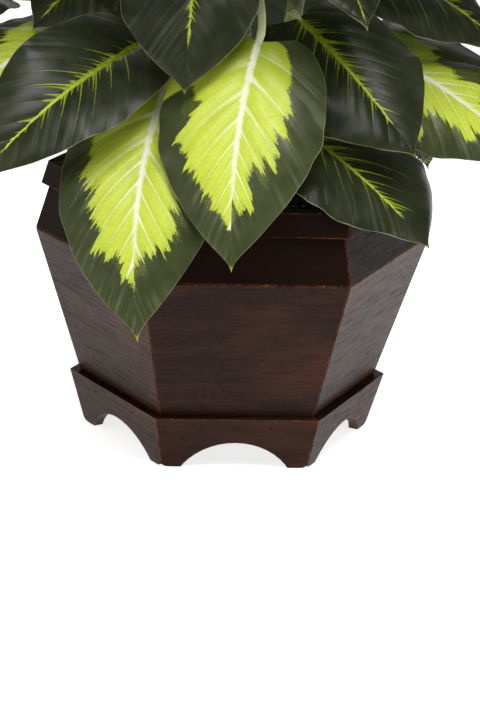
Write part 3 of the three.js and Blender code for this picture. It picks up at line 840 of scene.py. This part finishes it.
def petiole_loop(slim):
    """A channelled section: upper side left to right, then round below."""
    half_width = PETIOLE_HALF_WIDTH * slim
    half_height = PETIOLE_HALF_HEIGHT * slim
    turn = np.radians(np.linspace(180 - PETIOLE_SEAM, PETIOLE_SEAM, HALF_LOOP))
    channel = PETIOLE_CHANNEL[0] - PETIOLE_CHANNEL[1] * np.sin(turn) ** 6
    upper = np.stack([half_width * np.cos(turn), half_height * channel * np.sin(turn)], 1)
    lower = np.stack([half_width * np.cos(turn), -half_height * np.sin(turn)], 1)
    return np.concatenate([upper, lower[::-1]])


def sheath_loop(wrap, wall):
    """An arc of the wall round the cane."""
    centre = SHEATH_INNER + SHEATH_CENTRE
    share = np.linspace(-1, 1, HALF_LOOP)
    turn = np.radians(wrap * share)
    outer = SHEATH_INNER + wall * (1 - SHEATH_THINNING * np.abs(share))
    upper = np.stack([SHEATH_INNER * np.sin(turn), centre - SHEATH_INNER * np.cos(turn)], 1)
    lower = np.stack([outer * np.sin(turn), centre - outer * np.cos(turn)], 1)
    return np.concatenate([upper, lower[::-1]])


def stalk_sections(blade):
    """The sheath up the cane, then the petiole in one curve to the blade."""
    start, axis = cane_line(blade.cane)[:2]
    held = start + axis * (blade.hold - start[2]) / axis[2]
    outward = blade.base - held
    outward = unit(outward - axis * outward.dot(axis))
    side = -np.cross(axis, outward)
    top = held + outward * (SHEATH_INNER + SHEATH_CENTRE)
    rings = []
    for share in np.linspace(0, 1, SHEATH_STEPS):
        wrap, wall = (a + (b - a) * share for a, b in zip(SHEATH_FOOT, SHEATH_TOP))
        centre = top - axis * SHEATH_LENGTH * (1 - share)
        rings.append(set_out(centre, side, -outward, sheath_loop(wrap, wall)))
    arrival = blade.direction(np.zeros(1))[0]
    reach = np.linalg.norm(blade.base - top)
    knots = [
        top + axis * 3 + outward * 1.5,
        top + axis * min(reach * 0.4, PETIOLE_RISE) + outward * reach * 0.3,
        blade.base - arrival * reach * 0.35,
        blade.base - arrival * PETIOLE_JOINT,
    ]
    across_end = unit(np.cross(arrival, blade.up))
    swelling, swollen, spread = PETIOLE_SWELLING
    for i in range(PETIOLE_STEPS + 1):
        s = i / PETIOLE_STEPS
        r = 1 - s
        point = r**3 * knots[0] + 3 * r * r * s * knots[1] + 3 * r * s * s * knots[2] + s**3 * knots[3]
        tangent = unit(r * r * (knots[1] - knots[0]) + 2 * r * s * (knots[2] - knots[1])
                       + s * s * (knots[3] - knots[2]))
        across = side * r + across_end * s
        across = unit(across - tangent * across.dot(tangent))
        up = np.cross(across, tangent)
        slim = 1 - PETIOLE_TAPER * s + swelling * math.exp(-((s - swollen) / spread) ** 2)
        rings.append(set_out(point, across, up, petiole_loop(slim)))
    for forward, slim in RIB_STUBS:
        point = blade.base + arrival * forward - blade.up * (STUB_DROP + STUB_SLOPE * forward)
        rings.append(set_out(point, across_end, np.cross(across_end, arrival), petiole_loop(slim)))
    return np.array(rings)


def add_leaf(number, values, materials):
    """One leaf: sheath, petiole and blade in one mesh, with what its materials read at each point."""
    blade = Blade(*values, seed=number * 1.37 % 5)
    stalk = stalk_sections(blade)
    points, stored = blade.sections()
    rings, loop = stalk.shape[:2]
    along = np.repeat(np.linspace(0, 1, rings), loop)
    around = np.tile(np.linspace(0, 1, loop), rings)
    stalk_stored = np.stack([along, around, np.zeros(rings * loop)], 1)
    faces = loft_faces(rings, loop)
    slots = [2] * len(faces)
    blade_faces = loft_faces(*points.shape[:2], start=rings * loop)
    wide = points.shape[1]
    upper = wide // 2
    for face in blade_faces:
        k = (face[0] - rings * loop) % wide
        lower = len(face) == 4 and upper <= k < wide - 1
        slots.append(1 if lower else 0)
    stored = np.concatenate([stalk_stored, stored.reshape(-1, 3)])
    gold_lies = (blade.tilt, blade.heel) if blade.gold else (blade.vigour, blade.finish)
    look = np.tile([blade.seed, *gold_lies], (len(stored), 1))
    spread = np.repeat(stored[:, 2:] / np.linalg.norm(blade.chord), 3, axis=1)
    every = np.concatenate([stalk.reshape(-1, 3), points.reshape(-1, 3)])
    kind = "gold" if blade.gold else "dark"
    used = [materials[kind], materials[kind + "_under"], materials["stalk"]]
    piece = make_mesh(f"fine_leaf_{number:02d}", every, faces + blade_faces, used, slots,
                      {"blade": stored, "look": look, "spread": spread})
    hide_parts(f"leaf_{number:02d}")


def add_cane(name, material):
    """A round cane with ring scars, thinner between them."""
    start, axis, end = cane_line(name)
    root = start - axis * CANE_DEPTH
    length = np.linalg.norm(end - root)
    profile = [(CANE_RADIUS, 0.0, 0.0)]
    along = CANE_DEPTH + FIRST_SCAR
    while along < length - SCAR_SPACING:
        profile += [(CANE_RADIUS + SCAR * swell, along + step, ring) for step, swell, ring in SCAR_STEPS]
        along += SCAR_SPACING
    finish = CROWN_END if name == CROWNED else BUD_END
    profile += [(max(CANE_RADIUS * share, 0.05), length - back, 0.0) for share, back in finish]
    across = unit(np.cross(axis, [0, 1, 0]))
    up = np.cross(axis, across)
    points, stored = [], []
    for radius, height, ring in profile:
        points.extend(set_out(root + axis * height, across, up, radius * circle(CANE_SIDES)))
        stored += [(height / length, k / CANE_SIDES, ring) for k in range(CANE_SIDES)]
    piece = make_mesh(f"fine_cane_{name}", points, loft_faces(len(profile), CANE_SIDES), [material],
                      attributes={"blade": stored})
    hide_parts(f"cane_{name}")


def add_spear(material):
    """The rolled young leaf, with its outer edge wound round it."""
    end = cane_line(CROWNED)[2]
    shares, swells = zip(*SPEAR_PROFILE)
    points, stored = [], []
    for share in np.linspace(0, 1, SPEAR_RINGS):
        swell = np.interp(share, shares, swells)
        for around in np.arange(SPEAR_SIDES) / SPEAR_SIDES:
            turn = 2 * math.pi * around + SPEAR["twist"] * share
            radius = SPEAR["radius"] * swell * (1 + SPEAR["overlap"] * around)
            radius += SPEAR["ribs"] * math.sin(60 * share + 6 * math.pi * around) * swell
            lean = SPEAR["lean"] * share**2
            height = SPEAR["lift"] + SPEAR["length"] * share
            points.append(end + (radius * math.cos(turn) + lean, radius * math.sin(turn), height))
            stored.append((share, around, 0))
    piece = make_mesh("fine_young_leaf", points, loft_faces(SPEAR_RINGS, SPEAR_SIDES), [material],
                      attributes={"blade": stored})
    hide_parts("young_leaf")


def hex_share(x, y):
    """How far out a point is towards a six-sided edge whose corner radius is 1, with a corner on +X."""
    turns = [HALF_FACE * (2 * k + 1) for k in range(SIDES)]
    return max(x * math.cos(a) + y * math.sin(a) for a in turns) / math.cos(HALF_FACE)


def soil_height(x, y, share):
    """The mound of the soil with its lumps, above its edge, in millimetres."""
    lumps = LARGE_LUMPS * math.sin(x / 8) * math.cos(y / 8)
    lumps += SMALL_LUMPS * math.sin(x / 3.1 + 1) * math.sin(y / 2.7)
    return MOUND * (1 - share**2) + lumps * (1 - share**8)


def add_soil(material):
    """The soil in the pot, finely lumped on top. Returns the radius of its edge at the corners."""
    low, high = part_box("soil")
    bottom = low.z / MM
    edge_radius = high.x / MM
    foot = [v.co.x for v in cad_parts["soil"].data.vertices if v.co.z < low.z + MM]
    foot_radius = max(foot) / MM
    points = []
    for height in (bottom, SOIL_EDGE - SOIL_LIP):
        level = (SOIL_EDGE - height) / (SOIL_EDGE - bottom)
        wide = edge_radius + (foot_radius - edge_radius) * level
        for x, y in circle(SOIL_SIDES):
            reach = wide / hex_share(x, y)
            points.append((reach * x, reach * y, height))
    for i in range(SOIL_RINGS):
        share = 1 - i / (SOIL_RINGS - 0.5)
        for x, y in circle(SOIL_SIDES):
            reach = edge_radius * share / hex_share(x, y)
            height = SOIL_EDGE + soil_height(reach * x, reach * y, share)
            points.append((reach * x, reach * y, height))
    piece = make_mesh("fine_soil", points, loft_faces(SOIL_RINGS + 2, SOIL_SIDES), [material])
    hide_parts("soil")
    return edge_radius


def lump(draw, centre, sizes):
    """A small rough crumb: points and faces of a squashed, turned ball with a few sides."""
    n = CRUMB_SIDES
    points = [(0, 0, -1)]
    for height, start in ((-0.5, 0), (0.5, 0.5)):
        for k in range(n):
            turn = 2 * math.pi * (k + start) / n
            points.append((CRUMB_WAIST * math.cos(turn), CRUMB_WAIST * math.sin(turn), height))
    points.append((0, 0, 1))
    rough = draw.uniform(-CRUMB_ROUGHNESS, CRUMB_ROUGHNESS, (len(points), 1))
    points = np.array(points) * (1 + rough) * sizes
    spin = np.array(Matrix.Rotation(draw.uniform(0, 2 * math.pi), 3, "Z") @
                    Matrix.Rotation(draw.uniform(-0.5, 0.5), 3, "X"))
    points = points @ spin.T + centre
    faces = []
    for k in range(n):
        after = (k + 1) % n
        faces += [(0, 1 + after, 1 + k), (1 + k, 1 + after, 1 + n + k),
                  (1 + after, 1 + n + after, 1 + n + k), (1 + n + k, 1 + n + after, 1 + 2 * n)]
    return points, faces


def scatter(name, radius, material, count, sizes, flat, seed):
    """Crumbs lying on the soil, clear of the canes."""
    draw = np.random.default_rng(seed)
    points, faces = [], []
    laid = 0
    while laid < count:
        x, y = draw.uniform(-radius, radius, 2)
        share = hex_share(x, y) / radius
        nearest = min(math.hypot(x - foot[0], y - foot[1]) for foot, end in CANES.values())
        if share > CRUMB_REACH or nearest < CANE_RADIUS + CANE_CLEARANCE:
            continue
        size = draw.uniform(*sizes)
        spread = size * np.array([1, draw.uniform(0.5, 0.9), flat])
        centre = (x, y, SOIL_EDGE + soil_height(x, y, share) + size * flat * 0.4)
        add_part(points, faces, *lump(draw, centre, spread))
        laid += 1
    piece = make_mesh(name, points, faces, [material])


def fibre(draw, start, way, length, radius, rise=0.2):
    """One curly strand of moss, as a thin tube that sets out in the direction way and sinks."""
    points = []
    centre = np.array(start, float)
    rise = rise + draw.uniform(-0.3, 0.3)
    curl = draw.uniform(-STRAND_CURL, STRAND_CURL)
    for i in range(STRAND_STEPS):
        thin = radius * (1 - STRAND_TAPER * i / (STRAND_STEPS - 1))
        ahead = unit((math.cos(way), math.sin(way), rise))
        side = unit(np.cross(ahead, [0, 0, 1]))
        up = np.cross(side, ahead)
        points.extend(set_out(centre, side, up, thin * circle(STRAND_SIDES)))
        centre = centre + ahead * length / STRAND_STEPS
        way += curl + draw.uniform(-STRAND_WANDER, STRAND_WANDER)
        rise -= STRAND_SINKING
    return points, loft_faces(STRAND_STEPS, STRAND_SIDES)


def add_moss(radius, stuffs):
    """Curly moss strands along the pot's edge and between the canes, and a few over the rim's top."""
    draw = np.random.default_rng(SEED)
    groups = [([], []), ([], [])]
    for number in range(MOSS_STRANDS):
        turn = draw.uniform(0, 2 * math.pi)
        share = 1 - 0.5 * draw.random() ** 2 - 0.05
        reach = radius * share / hex_share(math.cos(turn), math.sin(turn))
        x, y = reach * math.cos(turn), reach * math.sin(turn)
        start = (x, y, SOIL_EDGE + soil_height(x, y, share) + 0.3)
        strand = fibre(draw, start, draw.uniform(0, 2 * math.pi), draw.uniform(*STRAND_LENGTH),
                       draw.uniform(*STRAND_RADIUS))
        add_part(*groups[number % 2], *strand)
    for number in range(STRAY_STRANDS):
        start = (draw.uniform(*STRAY_OUT), draw.uniform(*STRAY_ASIDE), RIM_HEIGHT)
        strand = fibre(draw, start, draw.uniform(*STRAY_WAY), draw.uniform(*STRAY_LENGTH), STRAY_RADIUS,
                       rise=0.8)
        add_part(*groups[1], *strand)
    for (points, faces), name in zip(groups, ("moss_green", "moss_pale")):
        piece = make_mesh(name, points, faces, [stuffs[name]])


def dress_planter(liner_material):
    """Gives the boards rounded edges and their wood, and the liner its plastic."""
    woods = [wood_material(face) for face in range(1, SIDES + 1)]
    for tier in TIERS:
        for face, wood in enumerate(woods, 1):
            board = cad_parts[f"{tier}_board_{face}"]
            set_material(board, wood)
            round_edges(board)
    set_material(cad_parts["floor_board"], woods[0])
    set_material(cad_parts["liner"], liner_material)


def turned_axes(turn):
    """Outwards and sideways, at an angle round the planter."""
    return Vector((math.cos(turn), math.sin(turn), 0)), Vector((-math.sin(turn), math.cos(turn), 0))


def add_glue_lines(material):
    """Thin dark lines of glue in the mitre seams, set back from every face."""
    points, faces = [], []
    for tier in TIERS:
        for number in range(1, SIDES + 1):
            out, across = turned_axes(2 * HALF_FACE * number)
            spots = [v.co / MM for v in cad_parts[f"{tier}_board_{number}"].data.vertices]
            spots = [p for p in spots if abs(p.dot(across)) < MITRE_REACH]
            end = np.array(sorted({(round(p.dot(out), 2), round(p.z, 2)) for p in spots}))
            centre = end.mean(axis=0)
            away = end - centre
            end = end[np.argsort(np.arctan2(away[:, 1], away[:, 0]))]
            away = end - centre
            size = np.linalg.norm(away, axis=1, keepdims=True)
            end = centre + away * np.maximum(1 - GLUE_SETBACK / size, GLUE_LEAST)
            start = len(points)
            for offset in (-GLUE_HALF, GLUE_HALF):
                points += [tuple(out * r + across * offset + Vector((0, 0, z))) for r, z in end]
            faces += loft_faces(2, len(end), start)
    piece = make_mesh("glue_lines", points, faces, [material])


def add_nail_pits(material):
    """Small dark fillings over the nails, two on each board of the plinth and the shoulder."""
    points, faces = [], []
    for tier, (along, height) in PITS.items():
        for number in range(1, SIDES + 1):
            out, across = turned_axes(HALF_FACE * (2 * number - 1))
            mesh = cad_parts[f"{tier}_board_{number}"].data
            tree = BVHTree.FromPolygons([v.co / MM for v in mesh.vertices],
                                        [p.vertices for p in mesh.polygons])
            for aside in (-along, along):
                afar = out * FAR_OUT + across * aside + Vector((0, 0, height))
                hit, normal = tree.ray_cast(afar, -out)[:2]
                first = normal.orthogonal().normalized()
                second = normal.cross(first)
                start = len(points)
                for level, wide in PIT_LEVELS:
                    ring = PIT_RADIUS * wide * circle(PIT_SIDES)
                    points.extend(set_out(np.array(hit + normal * level), first, second, ring))
                faces += loft_faces(len(PIT_LEVELS), PIT_SIDES, start)
    piece = make_mesh("nail_fillings", points, faces, [material])


def set_material(node, material):
    """Gives a node one material all over."""
    node.data.materials.clear()
    node.data.materials.append(material)


def round_edges(node):
    """Joins a board's facets at their shared points and rounds its sharp edges."""
    weld = node.modifiers.new("weld", "WELD")
    weld.merge_threshold = WELD_REACH
    bevel = node.modifiers.new("rounding", "BEVEL")
    bevel.width = EDGE_ROUND
    bevel.segments = EDGE_STEPS
    bevel.limit_method = "ANGLE"
    bevel.angle_limit = math.radians(EDGE_ANGLE)


def add_floor():
    """A pale plain floor, which glows a little so that it stays as white as the photo's ground."""
    material, tree, shader = new_material("floor", roughness=0.9, specular=0.1)
    base = coats(tree, "f4f4f3", (noise(tree, scale=3), "fafafa"))
    feed(tree, base, shader.inputs["Base Color"])
    shader.inputs["Emission Color"].default_value = (1, 1, 1, 1)
    shader.inputs["Emission Strength"].default_value = FLOOR_GLOW
    ring = [(x, y, 0) for x, y in FLOOR_RADIUS * circle(FLOOR_SIDES)]
    mesh = bpy.data.meshes.new("floor")
    mesh.from_pydata(ring, [], [tuple(range(FLOOR_SIDES))])
    mesh.materials.append(material)
    floor = add_object("floor", mesh)


def add_lights():
    """A dim white sky, and the square soft lights of a studio, which look at the plant's foot."""
    world = bpy.data.worlds.new("studio")
    world.use_nodes = True
    sky = world.node_tree.nodes["Background"]
    sky.inputs["Color"].default_value = (1, 1, 1, 1)
    sky.inputs["Strength"].default_value = SKY_GLOW
    bpy.context.scene.world = world
    for name, (spot, size, power) in LIGHTS.items():
        light = bpy.data.lights.new(name, "AREA")
        light.energy = power
        light.size = size
        lamp = add_object(name, light)
        lamp.location = spot
        lamp.rotation_euler = (LIGHT_AIM - lamp.location).to_track_quat("-Z", "Y").to_euler()


def add_camera():
    """The camera at the photo's angle, turned by yaw, pitch and roll from looking along +Y."""
    yaw, pitch, roll = (math.radians(turn) for turn in CAMERA_TURNS)
    ahead = Vector((math.sin(yaw) * math.cos(pitch), math.cos(yaw) * math.cos(pitch), -math.sin(pitch)))
    level = Vector((math.cos(yaw), -math.sin(yaw), 0))
    down = ahead.cross(level)
    right = level * math.cos(roll) + down * math.sin(roll)
    lower = down * math.cos(roll) - level * math.sin(roll)
    camera = add_object("camera", bpy.data.cameras.new("camera"))
    camera.data.lens = CAMERA_LENS
    axes = Matrix((right, -lower, -ahead)).transposed().to_4x4()
    camera.matrix_world = Matrix.Translation(CAMERA_PLACE) @ axes
    bpy.context.scene.camera = camera


def main():
    """Builds all the pieces, then the stage."""
    bpy.context.scene.view_settings.view_transform = "Standard"
    materials = {
        "gold": leaf_material("gold_blade", gold=True),
        "gold_under": leaf_material("gold_blade_under", gold=True, under=True),
        "dark": leaf_material("dark_blade", gold=False),
        "dark_under": leaf_material("dark_blade_under", gold=False, under=True),
        "stalk": stalk_material(),
    }
    for number, values in enumerate(LEAVES, 1):
        add_leaf(number, values, materials)
    cane = cane_material()
    for name in CANES:
        add_cane(name, cane)
    add_spear(spear_material())
    radius = add_soil(soil_material())
    stuffs = {name: speckled_material(name, *values) for name, values in STUFFS.items()}
    scatter("bark_chips", radius, stuffs["bark_chip"], count=420, sizes=(1.6, 4.6), flat=0.3, seed=SEED + 1)
    scatter("perlite", radius, stuffs["perlite"], count=150, sizes=(0.8, 1.8), flat=0.8, seed=SEED + 2)
    add_moss(radius, stuffs)
    dress_planter(stuffs["liner_plastic"])
    add_glue_lines(stuffs["dark_filler"])
    add_nail_pits(stuffs["dark_filler"])
    add_floor()
    add_lights()
    add_camera()


main()
